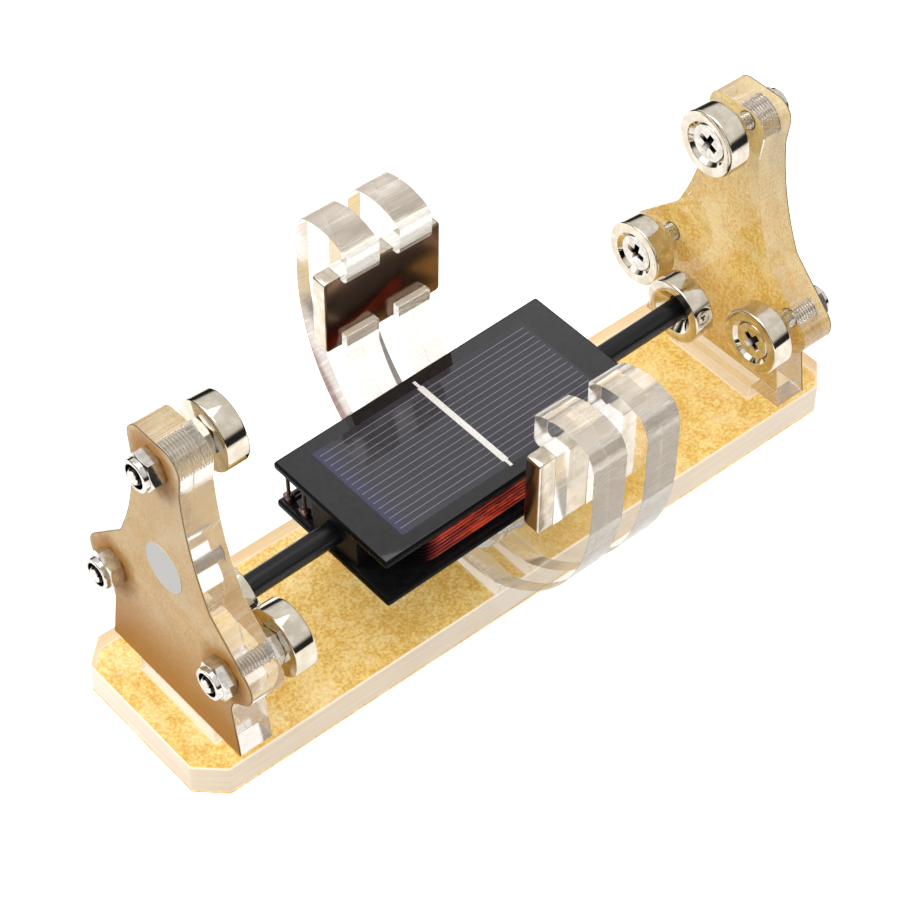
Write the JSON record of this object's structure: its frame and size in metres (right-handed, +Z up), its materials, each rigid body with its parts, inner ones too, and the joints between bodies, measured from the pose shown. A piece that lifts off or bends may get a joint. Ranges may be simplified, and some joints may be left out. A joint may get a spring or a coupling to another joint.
{
  "type": "solar levitation motor",
  "caption": "Demonstration motor on a clear stand: two solar panels and a coil on a shaft that ring magnets hold up, between block magnets on curved arms.",
  "frame": {"origin": "centre of the underside, on the surface that the stand rests on", "axes": "+X along the shaft, away from the end plate that the shaft's point runs against; +Y across the base to the left, seen along +X; +Z up"},
  "size_m": [0.1704, 0.0884, 0.0795],
  "materials": {
    "clear_acrylic": "clear, laser-cut, polished faces",
    "masking_paper": "matt kraft paper",
    "white_sticker": "matt white paper",
    "nickel": "bright nickel plate",
    "screw_steel": "bright plated steel",
    "black_rod": "black, satin",
    "black_plastic": "black, matt",
    "panel_board": "black board under glossy resin",
    "silicon_cell": "charcoal silicon with printed silver lines",
    "enamelled_wire": "red-orange enamel",
    "solder": "dull solder",
    "link_wire": "pink insulation"
  },
  "bodies": {
    "stand": {"base_plate": "clear_acrylic", "base_masking_paper": "masking_paper", "inspection_sticker": "white_sticker", "left_block_magnet": "nickel", "right_block_magnet": "nickel", "near_stator_arm": "clear_acrylic", "far_stator_arm": "clear_acrylic", "near_end_plate": "clear_acrylic", "near_plate_paper": "masking_paper", "near_top_ring_magnet": "nickel", "near_top_screw": "screw_steel", "near_left_ring_magnet": "nickel", "near_left_screw": "screw_steel", "near_right_ring_magnet": "nickel", "near_right_screw": "screw_steel", "near_clamp_nuts": "screw_steel", "near_lock_nuts": "screw_steel", "far_end_plate": "clear_acrylic", "far_plate_paper": "masking_paper", "far_top_ring_magnet": "nickel", "far_top_screw": "screw_steel", "far_left_ring_magnet": "nickel", "far_left_screw": "screw_steel", "far_right_ring_magnet": "nickel", "far_right_screw": "screw_steel", "far_clamp_nuts": "screw_steel", "far_lock_nuts": "screw_steel"},
    "rotor": {"near_shaft": "black_rod", "far_shaft": "black_rod", "thrust_point": "screw_steel", "near_rotor_magnet": "nickel", "far_rotor_magnet": "nickel", "near_shaft_block": "black_plastic", "far_shaft_block": "black_plastic", "coil_core": "black_plastic", "coil_winding": "enamelled_wire", "solder_pads": "solder", "panel_link_wires": "link_wire", "lower_solar_panel": "panel_board", "upper_solar_panel": "panel_board", "lower_solar_cell": "silicon_cell", "upper_solar_cell": "silicon_cell"}
  },
  "joints": [
    {"name": "rotor_spin", "type": "hinge", "parent": "stand", "child": "rotor", "pos_m": [0, -0.0012, 0.02875], "axis": [0.9993, 0, 0.0384], "continuous": true}
  ]
}
